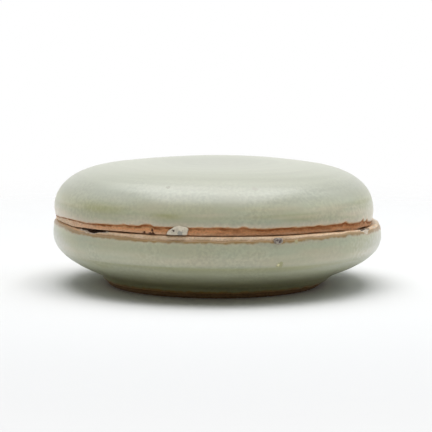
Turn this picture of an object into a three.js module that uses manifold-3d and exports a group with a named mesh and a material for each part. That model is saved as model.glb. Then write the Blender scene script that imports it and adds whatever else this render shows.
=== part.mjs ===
// Celadon box and cover. A shallow stoneware box stands on a foot ring, and its rim has a flat seat
// with an upright lip inside it. A domed cover drops over the lip and rests on the seat. Both pieces
// are glazed, apart from the clay that is wiped bare where they meet and under the foot.
// Millimetres, +Z up, front towards -Y. The origin is the centre of the face that the foot stands on.
import * as THREE from "three";
import { mergeVertices } from "three/addons/utils/BufferGeometryUtils.js";
import Module from "manifold-3d";

// Box, outside
const BOX_RADIUS = 64.8; // wall at its widest
const RIM_HEIGHT = 26; // seat of the cover above the table
const UPRIGHT = 5.5; // wall that stands upright below the seat
const RIM_ROUND = 0.9; // rounded outer edge of the rim
const BELLY_DROP = 8; // how steeply the wall falls before it turns under: upper handle of its curve
const BELLY_RUN = 8.4; // how straight the underside runs out from the foot: lower handle of its curve
const UNDERSIDE_SLOPE = THREE.MathUtils.degToRad(22); // underside where it leaves the foot

// Foot ring
const FOOT_RADIUS = 41.5; // outer edge of the standing face
const FOOT_WIDTH = 4; // standing face, from its inner to its outer edge
const FOOT_HEIGHT = 4.4; // corner between the foot and the underside
const FOOT_FLARE = 4.1; // how much wider the foot is at that corner
const FOOT_FILLET = 1.2; // hollow worked into that corner
const FOOT_EDGE = 0.6; // softened edges of the standing face
const FOOT_RECESS = 3; // underside inside the ring, above the table

// Box, inside
const FLOOR_THICKNESS = 4.6;
const FLOOR_RADIUS = 28; // flat part of the floor
const HOLLOW_ROUND = 0.55; // curve from wall to floor: 0.55 is a quarter ellipse, and more is squarer
const LIP_HEIGHT = 4; // lip above the seat
const LIP_THICKNESS = 2.2;

// Cover
const COVER_STEP = 1.8; // how far the box stands out past the cover when both are centred
const COVER_DRAW = 0.35; // how far the cover draws in again from its widest to its edge
const COVER_WIDEST = 4.6; // its widest, above its edge
const CROWN_HEIGHT = 17.6; // crown, above the widest
const CROWN_POWER = 4.9; // 2 is a half ellipse, and more is a flatter top with a rounder shoulder
const COVER_WALL = 3.8; // wall at the widest
const COVER_TOP = 4.4; // wall in the middle of the crown
const COVER_EDGE = 0.5; // softened edges of the cover's foot and of the lip

// Glaze and fits
const GLAZE = 0.35; // thickness of the glaze, which ends in a step beside bare clay
const COVER_BARE = 2.8; // bare clay band above the cover's edge
const BOX_BARE = 1.3; // bare clay band below the seat
const SEAT_GAP = 0.3; // between the cover's edge and the seat
const LIP_PLAY = 1.8; // between the cover and the lip, all round, when both are centred
const SIDE_GAP = 0.4; // what is left of that play on the side that the cover is pushed away from
const GRIT_GAP = 0.3; // between a lump of kiln grit and the wall that carries it

// Flakes lost from the outer edge of the box's rim. The angle is from +X, anticlockwise from above.
const CHIPS = [
  { angle: 223.5, length: 12, width: 4.6, depth: 1.7 },
  { angle: 333, length: 9, width: 2.6, depth: 1 },
];

// Lumps of kiln grit that fused to the rims in the firing, with the bottom of each above the edge
// of its cover, or its top below the seat of its box
const COVER_GRIT = { angle: 257.9, length: 8, height: 3.8, depth: 3.2, above: 0.1 };
const RIM_GRIT = { angle: 290.4, length: 3.8, height: 2.6, depth: 1.8, below: 0.1 };
const GRIT_BUMPS = 0.2; // height of the bumps on a lump, as a share of its size
const GRIT_WAVES = new THREE.Vector3(9, 8, 7); // radians of bumps across a lump: depth, length, height
const GRIT_PHASES = new THREE.Vector3(2, 1, 0);

// Facets
const SEGMENTS = 64; // round the axis
const CHORD = 4.6; // along an outline
const LEAST_STEPS = 3; // in a short curve of an outline
const LUMP_DETAIL = 3; // cuts along each edge of a lump's twenty faces
const WELD = 1e-4; // corners that lie closer than this are one

// Radii and heights that the two pieces share
const coverRadius = BOX_RADIUS - COVER_STEP;
const coverInside = coverRadius - COVER_WALL;
const lipOutside = coverInside - LIP_PLAY;
const lipInside = lipOutside - LIP_THICKNESS;
const coverShift = LIP_PLAY - SIDE_GAP;
const coverBottom = RIM_HEIGHT + SEAT_GAP;

const wasm = await Module();
wasm.setup();

// Half of a crown's section, from its widest point at height z to its top on the axis, or back.
class CrownCurve extends THREE.Curve {
  constructor(radius, z, height, power, fromTop) {
    super();
    Object.assign(this, { radius, z, height, power, fromTop });
  }

  getPoint(t, target = new THREE.Vector2()) {
    const angle = ((this.fromTop ? t : 1 - t) * Math.PI) / 2;
    const r = this.radius * Math.sin(angle) ** (2 / this.power);
    return target.set(r, this.z + this.height * Math.cos(angle));
  }
}

// The points of an outline: the ends of its straight lines, and short chords along its curves.
function outlinePoints(outline) {
  const points = [outline.curves[0].getPoint(0)];
  for (const curve of outline.curves) {
    const chords = Math.max(LEAST_STEPS, Math.ceil(curve.getLength() / CHORD));
    const steps = curve.isLineCurve ? 1 : chords;
    for (let i = 1; i <= steps; i++) points.push(curve.getPoint(i / steps));
  }
  return points;
}

// The solid swept by an outline of radius and height, turned once round +Z.
function revolve(outline) {
  return new THREE.LatheGeometry(outlinePoints(outline), SEGMENTS).rotateX(Math.PI / 2);
}

// The same surface with its corners joined, and with nothing kept but their places.
function welded(geometry) {
  const bare = new THREE.BufferGeometry();
  bare.setAttribute("position", geometry.getAttribute("position"));
  bare.setIndex(geometry.index);
  return mergeVertices(bare, WELD);
}

function toSolid(geometry) {
  const closed = welded(geometry);
  const vertProperties = new Float32Array(closed.getAttribute("position").array);
  const triVerts = new Uint32Array(closed.index.array);
  return new wasm.Manifold(new wasm.Mesh({ numProp: 3, vertProperties, triVerts }));
}

function toGeometry(solid) {
  const { vertProperties, triVerts } = solid.getMesh();
  const geometry = new THREE.BufferGeometry();
  geometry.setAttribute("position", new THREE.BufferAttribute(vertProperties, 3));
  geometry.setIndex(new THREE.BufferAttribute(triVerts, 1));
  geometry.computeVertexNormals();
  return geometry;
}

// A lump of the given length round the axis, depth across it and height, centred at radius r,
// height z and an angle in degrees. Its bumps are a share of its size.
function lump({ angle, length, depth, height }, r, z, bumps = 0) {
  const geometry = welded(new THREE.IcosahedronGeometry(0.5, LUMP_DETAIL));
  const position = geometry.getAttribute("position");
  const point = new THREE.Vector3();
  for (let i = 0; i < position.count; i++) {
    point.fromBufferAttribute(position, i);
    const wave = point.clone().multiply(GRIT_WAVES).add(GRIT_PHASES);
    const swell = Math.sin(wave.x) * Math.sin(wave.y) * Math.sin(wave.z);
    point.multiplyScalar(1 + bumps * swell);
    position.setXYZ(i, point.x, point.y, point.z);
  }
  const turn = THREE.MathUtils.degToRad(angle);
  return geometry.scale(depth, length, height).translate(r, 0, z).rotateZ(turn);
}

// Section of the box, from the middle of its underside round the outside to the middle of its floor.
function boxOutline() {
  const footInside = FOOT_RADIUS - FOOT_WIDTH;
  const cornerR = FOOT_RADIUS + FOOT_FLARE;
  const run = new THREE.Vector2(Math.cos(UNDERSIDE_SLOPE), Math.sin(UNDERSIDE_SLOPE));
  const footWall = new THREE.Vector2(-FOOT_FLARE, -FOOT_HEIGHT).normalize();
  const glazeTop = RIM_HEIGHT - BOX_BARE;
  const clayRadius = BOX_RADIUS - GLAZE;
  const floor = FOOT_RECESS + FLOOR_THICKNESS;
  const bellyTop = RIM_HEIGHT - UPRIGHT;
  const hollowDrop = (bellyTop - floor) * HOLLOW_ROUND;
  const hollowRun = (lipInside - FLOOR_RADIUS) * HOLLOW_ROUND;

  const outline = new THREE.Path();
  outline.moveTo(0, FOOT_RECESS);
  outline.lineTo(footInside - FOOT_EDGE, FOOT_RECESS);
  outline.lineTo(footInside, FOOT_EDGE);
  outline.lineTo(footInside + FOOT_EDGE, 0);
  outline.lineTo(FOOT_RADIUS - FOOT_EDGE, 0);
  outline.quadraticCurveTo(FOOT_RADIUS, 0, FOOT_RADIUS - footWall.x * FOOT_EDGE, -footWall.y * FOOT_EDGE);
  outline.lineTo(cornerR + footWall.x * FOOT_FILLET, FOOT_HEIGHT + footWall.y * FOOT_FILLET);
  const bellyFoot = new THREE.Vector2(cornerR + run.x * FOOT_FILLET, FOOT_HEIGHT + run.y * FOOT_FILLET);
  outline.quadraticCurveTo(cornerR, FOOT_HEIGHT, bellyFoot.x, bellyFoot.y);
  outline.bezierCurveTo(
    bellyFoot.x + run.x * BELLY_RUN, bellyFoot.y + run.y * BELLY_RUN,
    BOX_RADIUS, bellyTop - BELLY_DROP,
    BOX_RADIUS, bellyTop,
  );
  outline.lineTo(BOX_RADIUS, glazeTop - GLAZE);
  outline.quadraticCurveTo(BOX_RADIUS, glazeTop, clayRadius, glazeTop);
  outline.lineTo(clayRadius, RIM_HEIGHT - RIM_ROUND);
  outline.quadraticCurveTo(clayRadius, RIM_HEIGHT, clayRadius - RIM_ROUND, RIM_HEIGHT);
  outline.lineTo(lipOutside, RIM_HEIGHT);
  outline.lineTo(lipOutside, RIM_HEIGHT + LIP_HEIGHT - COVER_EDGE);
  outline.lineTo(lipOutside - COVER_EDGE, RIM_HEIGHT + LIP_HEIGHT);
  outline.lineTo(lipInside + COVER_EDGE, RIM_HEIGHT + LIP_HEIGHT);
  outline.lineTo(lipInside, RIM_HEIGHT + LIP_HEIGHT - COVER_EDGE);
  outline.lineTo(lipInside, bellyTop);
  outline.bezierCurveTo(
    lipInside, bellyTop - hollowDrop,
    FLOOR_RADIUS + hollowRun, floor,
    FLOOR_RADIUS, floor,
  );
  outline.lineTo(0, floor);
  return outline;
}

// Section of the cover above its own edge, from the middle of its ceiling round to its top.
function coverOutline() {
  const glazedEdge = coverRadius - COVER_DRAW;
  const clayRadius = glazedEdge - GLAZE;
  const glazeEnd = COVER_BARE + GLAZE;

  const outline = new THREE.Path();
  outline.curves.push(
    new CrownCurve(coverInside, COVER_WIDEST, CROWN_HEIGHT - COVER_TOP, CROWN_POWER, true),
  );
  outline.currentPoint.set(coverInside, COVER_WIDEST);
  outline.lineTo(coverInside, COVER_EDGE);
  outline.lineTo(coverInside + COVER_EDGE, 0);
  outline.lineTo(clayRadius - COVER_EDGE, 0);
  outline.lineTo(clayRadius, COVER_EDGE);
  outline.lineTo(clayRadius, COVER_BARE);
  outline.quadraticCurveTo(glazedEdge, COVER_BARE, glazedEdge, glazeEnd);
  outline.quadraticCurveTo(coverRadius, (glazeEnd + COVER_WIDEST) / 2, coverRadius, COVER_WIDEST);
  outline.curves.push(new CrownCurve(coverRadius, COVER_WIDEST, CROWN_HEIGHT, CROWN_POWER, false));
  return outline;
}

// A copy of a piece that stands proud of it by a gap at each end of its length, width and height.
function grown(geometry, gap) {
  geometry.computeBoundingBox();
  const middle = geometry.boundingBox.getCenter(new THREE.Vector3());
  const size = geometry.boundingBox.getSize(new THREE.Vector3());
  return geometry
    .clone()
    .translate(-middle.x, -middle.y, -middle.z)
    .scale(1 + (2 * gap) / size.x, 1 + (2 * gap) / size.y, 1 + (2 * gap) / size.z)
    .translate(middle.x, middle.y, middle.z);
}

const celadon = new THREE.MeshStandardMaterial({ color: 0xa9ac93, roughness: 0.28, metalness: 0 });
const paleGrit = new THREE.MeshStandardMaterial({ color: 0xc9c3b2, roughness: 0.7, metalness: 0 });
const greyGrit = new THREE.MeshStandardMaterial({ color: 0x8b8580, roughness: 0.8, metalness: 0 });

function makeMesh(name, geometry, material) {
  const mesh = new THREE.Mesh(geometry, material);
  mesh.name = name;
  return mesh;
}

// What a flake took with it: a smooth lump whose middle lies on the outer edge of the rim.
function flake({ angle, length, width, depth }) {
  return lump({ angle, length, depth: 2 * width, height: 2 * depth }, BOX_RADIUS, RIM_HEIGHT);
}

// A bumpy lump of grit centred on a wall, with a bed cut into it that clears the piece it lies on.
function grit(size, radius, z, carrier) {
  return toSolid(lump(size, radius, z, GRIT_BUMPS)).subtract(toSolid(grown(carrier, GRIT_GAP)));
}

const wholeBox = revolve(boxOutline());
const chippedBox = CHIPS.reduce((solid, chip) => solid.subtract(toSolid(flake(chip))), toSolid(wholeBox));
const coverShell = revolve(coverOutline());

const coverGritHeight = COVER_GRIT.above + COVER_GRIT.height / 2;
const coverGrit = grit(COVER_GRIT, coverRadius, coverGritHeight, coverShell);
const rimGritHeight = RIM_HEIGHT - RIM_GRIT.below - RIM_GRIT.height / 2;
const rimGrit = grit(RIM_GRIT, BOX_RADIUS, rimGritHeight, wholeBox);

const box = new THREE.Group();
box.add(makeMesh("box", toGeometry(chippedBox), celadon));
box.add(makeMesh("rim_kiln_grit", toGeometry(rimGrit), greyGrit));

const cover = new THREE.Group();
cover.add(makeMesh("cover", coverShell, celadon));
cover.add(makeMesh("cover_kiln_grit", toGeometry(coverGrit), paleGrit));
cover.position.set(-coverShift, 0, coverBottom);

const part = new THREE.Group();
part.add(box, cover);

export default part;
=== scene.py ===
"""The looks of a celadon box and cover: fine turned meshes, glaze, bare clay, grit, light and camera.

Lengths are in millimetres up to the meshes, which are in metres. An angle is in degrees from +X,
anticlockwise from above, so the front of the box is at 270.
"""

import math

import bmesh
import bpy
import numpy as np
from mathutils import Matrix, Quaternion, Vector, noise


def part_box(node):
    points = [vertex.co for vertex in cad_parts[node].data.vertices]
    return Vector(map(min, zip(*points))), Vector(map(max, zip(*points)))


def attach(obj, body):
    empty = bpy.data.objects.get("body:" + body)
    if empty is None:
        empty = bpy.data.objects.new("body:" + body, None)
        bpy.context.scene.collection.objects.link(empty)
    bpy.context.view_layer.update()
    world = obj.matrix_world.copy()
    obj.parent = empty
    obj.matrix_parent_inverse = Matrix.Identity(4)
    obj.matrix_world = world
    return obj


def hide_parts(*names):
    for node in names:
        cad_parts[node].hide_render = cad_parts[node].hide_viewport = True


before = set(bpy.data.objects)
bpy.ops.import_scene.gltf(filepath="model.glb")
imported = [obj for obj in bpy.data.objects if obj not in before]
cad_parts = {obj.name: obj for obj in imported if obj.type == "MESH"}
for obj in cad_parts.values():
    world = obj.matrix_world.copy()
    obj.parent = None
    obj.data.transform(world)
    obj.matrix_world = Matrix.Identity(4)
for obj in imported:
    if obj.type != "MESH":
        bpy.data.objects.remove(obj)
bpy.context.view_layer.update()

MM = 0.001


def about(angle, turn, **values):
    """Values that hold at an angle and fade out over a turn to either side of it, in degrees."""
    return {"angle": angle, "turn": turn, **values}


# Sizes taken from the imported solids
box_low, box_high = (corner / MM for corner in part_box("box"))
cover_low, cover_high = (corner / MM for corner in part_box("cover"))
BOX_RADIUS = (box_high.x - box_low.x) / 2
LIP_TOP = box_high.z
COVER_RADIUS = (cover_high.x - cover_low.x) / 2
COVER_AXIS = (cover_high.x + cover_low.x) / 2
COVER_BOTTOM = cover_low.z
COVER_HEIGHT = cover_high.z - cover_low.z

# Box, outside
UPRIGHT = 5.5
RIM_ROUND = 0.9
BELLY_DROP = 8.0
BELLY_RUN = 8.4
UNDERSIDE_SLOPE = math.radians(22)
FOOT_RADIUS = 41.5
FOOT_WIDTH = 4.0
FOOT_HEIGHT = 4.4
FOOT_FLARE = 4.1
FOOT_FILLET = 1.2
FOOT_EDGE = 0.6
FOOT_RECESS = 3.0

# Box, inside
FLOOR_THICKNESS = 4.6
FLOOR_RADIUS = 28.0
HOLLOW_ROUND = 0.55
LIP_HEIGHT = 4.0
LIP_THICKNESS = 2.2
LIP_EDGE = 0.5

# Cover
COVER_DRAW = 0.35
COVER_WIDEST = 4.6
CROWN_POWER = 4.9
COVER_WALL = 3.8
COVER_TOP = 4.4
COVER_EDGE = 0.5
LIP_PLAY = 1.8

# Glaze, and the bare clay beside it
GLAZE = 0.35
GLAZE_ROUND = 0.22  # how soon the glaze reaches its thickness from its edge
GLAZE_BEAD = 0.3  # how much thicker it is in the bead along its edge, as a share
BEAD_FROM_EDGE = 0.8
COVER_BARE = 2.8
COVER_BARE_INSIDE = 1.6
BOX_BARE = 1.3
LIP_BARE = 2.5
FOOT_BARE = 3.0
RECESS_BARE = 1.0

# How the hand-made form departs from a true turned one
FOOT_SHIFT = -1.2  # of the foot along X, which fades out at the height FOOT_SHIFT_TOP
FOOT_SHIFT_TOP = 10.0
# Where the step above the foot is softer, over FILL_REACH to either side
FOOT_FILL = (about(0, 100, rise=0.7),)
FILL_REACH = 4.0
FOOT_POOL_TOP = 16.0  # height below which the glaze ran thicker and more olive, and is painted with shade that grows towards the foot
# The turner's ridge round the belly: it wavers along the outline and is strongest round an angle. Over a
# reach to either side, the glaze is pooled below it and thin above it.
BELLY_MARK = {
    "z": 15.1,
    "ridge": 0.14,
    "width": 1.1,
    "wave": 0.4,
    "angle": 300.0,
    "turn": 70.0,
    "least": 0.25,
    "edge": 0.8,
    "pool": 0.55,
    "pool_reach": 9.0,
    "thin": 0.3,
    "thin_reach": 5.0,
}
RIM_DIPS = 0.2  # depth of small dips along the rim, at most DIP_LIMIT times as deep
DIP_LIMIT = 1.5
RIM_CURL = 0.5  # how far the wall curls in up to the rim, over the length CURL_REACH
CURL_REACH = 4.0
RING_OUTSIDE = 0.02  # height of the turner's rings
RING_INSIDE = 0.08
RING_FADE = 3.0  # length from the glaze's edge over which the rings grow
BOX_GRAIN = 0.05  # height of the grain of bare clay
COVER_GRAIN = 0.06
POOL_RISE = 0.06  # how much thicker pooled glaze is
# How far the box's seat stands higher or lower, with the cover's edge on it, and how far the rim's crest
RIM_BENDS = (
    about(5, 50, rise=-0.8, crest=-1.3),
    about(212, 11, rise=-0.35, crest=-0.35),
    about(246, 28, rise=0.2, crest=0.25),
    about(273, 24, rise=0.15, crest=0.2),
    about(317, 9, rise=0, crest=-0.3),
    about(332, 14, rise=0, crest=-0.5),
    about(338, 32, rise=-1.35, crest=0),
)
CROWN_SAG = 0.3  # of the cover's top
# Where the cover's shoulder sags more, over SAG_REACH to either side of a radius of SAG_RADIUS
CROWN_SAGS = (about(132, 50, rise=-0.5), about(38, 30, rise=-0.25))
SAG_RADIUS = 45.0
SAG_REACH = 25.0
BEND_FROM = 6.0  # height on the box from which a bend grows up to the rim
BEND_TOP = 14.0  # height above the cover's edge at which it ends
CREST_RUN = 2.0  # length over which the seat's bend turns into the crest's

# Kinds of random waves: how many may go round the axis, how long they may be along the outline, and how
# many are added up. Streaks are waves that are cut off at 0 and 1, round a level.
EDGE_WAVES = {"turns": (3, 40), "lengths": (1, 2), "count": 24}
OUTER_WAVES = {**EDGE_WAVES, "turns": (3, 36)}
INNER_WAVES = {**EDGE_WAVES, "turns": (3, 30)}
RIM_WAVES = {**EDGE_WAVES, "turns": (8, 60)}
MARK_WAVES = {"turns": (1, 6), "lengths": (1, 2), "count": 8}
TURNER_RINGS = {"turns": (0, 2), "lengths": (2.5, 6), "count": 10}
CLAY_GRAIN = {"turns": (20, 160), "lengths": (1, 3), "count": 24}
FLAKE_GRAIN = {**CLAY_GRAIN, "turns": (40, 170)}
BOX_CLOUDS = {"turns": (1, 4), "lengths": (4, 12), "count": 14}
COVER_CLOUDS = {"turns": (1, 6), "lengths": (3, 10), "count": 14}
MARK_STREAKS = {"turns": (1, 5), "lengths": (5, 9), "count": 12, "level": 0.7}
BELLY_STREAKS = {"turns": (1, 6), "lengths": (3, 8), "count": 12, "level": 0.6}
POOL_STREAKS = {"turns": (2, 7), "lengths": (3, 7), "count": 12, "level": -0.2}
THIN_STREAKS = {**POOL_STREAKS, "level": -0.3}

# Mesh: faces round the axis, and steps along the outline
SEGMENTS = 720
COARSE = 2.4
MIDDLE = 0.9
FINE = 0.2

rim_height = LIP_TOP - LIP_HEIGHT
cover_inside = COVER_RADIUS - COVER_WALL
lip_outside = cover_inside - LIP_PLAY
lip_inside = lip_outside - LIP_THICKNESS


# Outlines of the clay under the glaze


def graded(length, first, last):
    """Shares of a length at which steps grow evenly from the first size to the last."""
    count = max(2, round(2 * length / (first + last)))
    ends = np.cumsum(np.linspace(first, last, count))
    return ends / ends[-1]


class Outline:
    """A section of a turned piece: close points of radius and height, and names for some of them."""

    def __init__(self, r, z):
        self.points = [np.array((r, z), float)]
        self.places = {}

    def follow(self, path, first, last):
        """Adds points along a dense path, with steps that go from the first size to the last."""
        path = np.array(path)
        steps = np.hypot(*np.diff(path, axis=0).T)
        along = np.concatenate(([0], np.cumsum(steps)))
        at = graded(along[-1], first, last or first) * along[-1]
        self.points += list(np.stack([np.interp(at, along, path[:, k]) for k in (0, 1)], axis=1))
        return self

    def line(self, r, z, first=FINE, last=None):
        return self.follow([self.points[-1], (r, z)], first, last)

    def bend(self, *handles_and_end, first=FINE, last=None):
        """A Bezier curve from the last point."""
        corners = [self.points[-1]] + [np.array(p, float) for p in handles_and_end]
        t = np.linspace(0, 1, 200)[:, None]
        level = [np.repeat(c[None, :], len(t), axis=0) for c in corners]
        while len(level) > 1:
            level = [a + (b - a) * t for a, b in zip(level, level[1:])]
        return self.follow(level[0], first, last)

    def crown(self, radius, z, height, rising, first, last):
        """Half of a crown's section, between its widest point at height z and its top on the axis."""
        share = np.linspace(1, 0, 400)
        r = radius * share
        heights = z + height * np.sqrt(1 - share**CROWN_POWER)
        path = np.stack([r, heights], axis=1)
        return self.follow(path if rising else path[::-1], first, last)

    def name(self, place):
        self.places[place] = len(self.points) - 1
        return self


def box_outline():
    """From the middle of the underside round the outside to the middle of the floor."""
    wall = BOX_RADIUS - GLAZE
    foot_inside = FOOT_RADIUS - FOOT_WIDTH
    corner = np.array((FOOT_RADIUS + FOOT_FLARE - GLAZE, FOOT_HEIGHT + GLAZE))
    run = np.array((math.cos(UNDERSIDE_SLOPE), math.sin(UNDERSIDE_SLOPE)))
    rise = np.array((FOOT_FLARE, FOOT_HEIGHT)) / math.hypot(FOOT_FLARE, FOOT_HEIGHT)
    belly_foot = corner + run * FOOT_FILLET
    belly_top = rim_height - UPRIGHT
    floor = FOOT_RECESS + FLOOR_THICKNESS - GLAZE
    hollow = lip_inside + GLAZE
    hollow_drop = (belly_top - floor) * HOLLOW_ROUND
    hollow_run = (hollow - FLOOR_RADIUS) * HOLLOW_ROUND

    o = Outline(0, FOOT_RECESS + GLAZE)
    o.line(foot_inside - FOOT_EDGE - RECESS_BARE, FOOT_RECESS + GLAZE, COARSE, FINE).name("recess_line")
    o.line(foot_inside - FOOT_EDGE, FOOT_RECESS + GLAZE)
    o.bend((foot_inside, FOOT_RECESS + GLAZE), (foot_inside, FOOT_EDGE), first=0.4)
    o.bend((foot_inside, 0), (foot_inside + FOOT_EDGE, 0))
    o.line(FOOT_RADIUS - FOOT_EDGE, 0, first=0.5)
    o.bend((FOOT_RADIUS, 0), np.array((FOOT_RADIUS, 0)) + rise * FOOT_EDGE)
    o.line(*(np.array((FOOT_RADIUS, 0)) + rise * FOOT_BARE)).name("foot_line")
    o.line(*(corner - rise * FOOT_FILLET))
    o.bend(corner, belly_foot, first=0.3)
    belly_handles = (belly_foot + run * BELLY_RUN, (wall, belly_top - BELLY_DROP))
    o.bend(*belly_handles, (wall, belly_top), first=0.4)
    o.line(wall, rim_height - BOX_BARE, MIDDLE, FINE).name("rim_line")
    o.line(wall, rim_height - RIM_ROUND).name("rim_edge")
    o.bend((wall, rim_height), (wall - RIM_ROUND, rim_height))
    o.line(lip_outside, rim_height, first=0.35)
    o.line(lip_outside, LIP_TOP - LIP_EDGE, first=0.4)
    o.bend((lip_outside, LIP_TOP), (lip_outside - LIP_EDGE, LIP_TOP))
    o.line(lip_inside + LIP_EDGE, LIP_TOP)
    o.bend((lip_inside, LIP_TOP), (lip_inside, LIP_TOP - LIP_EDGE))
    o.line(lip_inside, LIP_TOP - LIP_BARE).name("lip_line")
    o.line(hollow, belly_top, FINE, MIDDLE)
    hollow_handles = ((hollow, belly_top - hollow_drop), (FLOOR_RADIUS + hollow_run, floor))
    o.bend(*hollow_handles, (FLOOR_RADIUS, floor), first=MIDDLE)
    o.line(0, floor, MIDDLE, COARSE)
    return o


def cover_outline():
    """Above the cover's edge, from the middle of its ceiling round to its top."""
    wall = COVER_RADIUS - GLAZE
    edge = wall - COVER_DRAW
    inside = cover_inside + GLAZE
    crown = COVER_HEIGHT - COVER_WIDEST
    ceiling = crown - COVER_TOP + GLAZE

    o = Outline(0, COVER_WIDEST + ceiling)
    o.crown(inside, COVER_WIDEST, ceiling, False, COARSE, MIDDLE)
    o.line(inside, COVER_BARE_INSIDE, MIDDLE, FINE).name("inner_line")
    o.line(inside, COVER_EDGE)
    o.bend((inside, 0), (inside + COVER_EDGE, 0))
    o.line(edge - COVER_EDGE, 0, first=0.4)
    o.bend((edge, 0), (edge, COVER_EDGE))
    o.line(edge, COVER_BARE).name("outer_line")
    o.bend((wall, (COVER_BARE + COVER_WIDEST) / 2), (wall, COVER_WIDEST), first=0.15, last=FINE)
    o.crown(wall, COVER_WIDEST, crown - GLAZE, True, FINE, COARSE)
    return o


# Turned surfaces


def bump(value, middle, width):
    """A rounded bump of height 1, which is 0 beyond a width to either side of its middle."""
    share = np.clip(np.abs(value - middle) / width, 0, 1)
    return (1 + np.cos(np.pi * share)) / 2


def turn_bump(angle, middle, width):
    """The same round the axis, in degrees."""
    apart = (angle - middle + 180) % 360 - 180
    return bump(apart, 0, width)


def ripples(seed, angle, along, kind):
    """Smooth random heights of about -1 to 1 over angle and length along the outline, from seeded waves
    that close round the axis."""
    random = np.random.default_rng(seed)
    fewest, most = kind["turns"]
    total = 0.0
    for _ in range(kind["count"]):
        waves = int(random.integers(fewest, most + 1))
        rate = random.choice((-1, 1)) * 2 * math.pi / random.uniform(*kind["lengths"])
        phase = random.uniform(0, 2 * math.pi)
        total = total + np.cos(waves * np.radians(angle) + rate * along + phase)
    return total / math.sqrt(2 * kind["count"])


class Surface:
    """The rows and columns of a turned piece, one row for each point of its outline."""

    def __init__(self, outline):
        self.points = np.array(outline.points)
        steps = np.hypot(*np.diff(self.points, axis=0).T)
        self.length = np.concatenate(([0], np.cumsum(steps)))
        slope = np.gradient(self.points, self.length, axis=0)
        slope /= np.hypot(*slope.T)[:, None]
        self.normal = np.stack([slope[:, 1], -slope[:, 0]], axis=1)
        self.rows = outline.places
        self.place = {name: self.length[row] for name, row in outline.places.items()}
        self.angle = np.arange(SEGMENTS) * 360.0 / SEGMENTS
        self.along = np.repeat(self.length[:, None], SEGMENTS, axis=1)
        self.slide = np.zeros_like(self.along)
        self.out = np.zeros_like(self.along)

    def waves(self, seed, kind):
        """Random heights over the whole surface."""
        return ripples(seed, self.angle, self.along, kind)

    def round_waves(self, seed, kind):
        """The same by the angle alone."""
        return ripples(seed, self.angle, 0, kind)

    def rises(self, places, key="rise"):
        """A height for each angle: the sum of rounded rises, each round an angle."""
        return sum(at[key] * turn_bump(self.angle, at["angle"], at["turn"]) for at in places)

    def patches(self, value, places):
        """Shares of 0 to 1. Each patch lies round a middle of the value, about an angle or all round."""
        total = np.zeros_like(value)
        for at in places:
            share = at["share"] * bump(value, at["middle"], at["reach"])
            if "angle" in at:
                share = share * turn_bump(self.angle, at["angle"], at["turn"])
            total = np.maximum(total, share)
        return total

    def wander(self, edge):
        """Slides the rows near an edge of the glaze along the outline, by a length for each angle."""
        wave = self.rises(edge["rises"]) + edge["wave"] * self.round_waves(edge["seed"], edge["kind"])
        self.slide += bump(self.along, self.place[edge["place"]], edge["reach"]) * wave

    def from_glaze_edge(self, places):
        """Length from the nearest edge of the glaze, above 0 on glaze and below 0 on bare clay.
        The outline starts on glaze, and each of the named places ends or starts it."""
        ends = np.array([self.place[p] for p in places])
        nearest = np.abs(self.along[..., None] - ends).min(axis=-1)
        crossed = (self.along[..., None] > ends).sum(axis=-1)
        return np.where(crossed % 2 == 0, nearest, -nearest)

    def corners(self):
        """The point of every row and column, with its slide and its height on the surface."""
        at = np.clip(self.along + self.slide, 0, self.length[-1])
        r, z, out_r, out_z = (np.interp(at, self.length, v) for v in (*self.points.T, *self.normal.T))
        r = r + out_r * self.out
        turn = np.radians(self.angle)
        return np.stack([r * np.cos(turn), r * np.sin(turn), z + out_z * self.out], axis=-1)


def glaze_thickness(edge):
    """Thickness at a length from the glaze's edge: it rounds up to a low bead and then runs even."""
    on = np.clip(edge, 0, None)
    even = 1 - np.exp(-on / GLAZE_ROUND)
    bead = GLAZE_BEAD * np.exp(-(((on - BEAD_FROM_EDGE) / BEAD_FROM_EDGE) ** 2))
    return GLAZE * even * (1 + bead)


def turned_mesh(name, corners, attributes, materials, clay):
    """A closed mesh of rows and columns, with one point for the first row and one for the last.
    Faces whose corners are mostly on bare clay take the second material."""
    rows, columns = corners.shape[:2]
    inner = rows - 2
    flat = np.concatenate([corners[0, :1], corners[1:-1].reshape(-1, 3), corners[-1, :1]])
    index = 1 + np.arange(inner * columns).reshape(inner, columns)
    nxt = np.roll(index, -1, axis=1)
    quads = np.stack([index[:-1], nxt[:-1], nxt[1:], index[1:]], axis=-1).reshape(-1, 4)
    last = len(flat) - 1
    first_fan = [(0, b, a) for a, b in zip(index[0], nxt[0])]
    last_fan = [(last, a, b) for a, b in zip(index[-1], nxt[-1])]

    mesh = bpy.data.meshes.new(name)
    mesh.from_pydata((flat * MM).tolist(), [], [*quads.tolist(), *first_fan, *last_fan])
    for attribute, values in attributes.items():
        data = mesh.attributes.new(attribute, "FLOAT", "POINT").data
        points = np.concatenate([values[0, :1], values[1:-1].ravel(), values[-1, :1]])
        data.foreach_set("value", points.astype(np.float32))
    pairs = clay[1:-2] + clay[2:-1]
    bare = (pairs + np.roll(pairs, -1, axis=1)) >= 2
    ends = [np.repeat(clay[end, 0] > 0, columns) for end in (0, -1)]
    slots = np.concatenate([bare.ravel(), *ends])
    for material in materials:
        mesh.materials.append(material)
    mesh.polygons.foreach_set("material_index", slots.astype(np.int32))
    mesh.shade_smooth()
    mesh.update()
    return link(name, mesh)


def link(name, data):
    thing = bpy.data.objects.new(name, data)
    bpy.context.scene.collection.objects.link(thing)
    return thing


# Materials


def srgb(red, green, blue):
    """A colour of a material from its 8-bit screen values."""
    def linear(v):
        v = v / 255
        return v / 12.92 if v <= 0.04045 else ((v + 0.055) / 1.055) ** 2.4

    return (linear(red), linear(green), linear(blue), 1.0)


MARK_FRAY = 0.3  # how far the edge of a single mark frays, as a share of its radius


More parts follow.
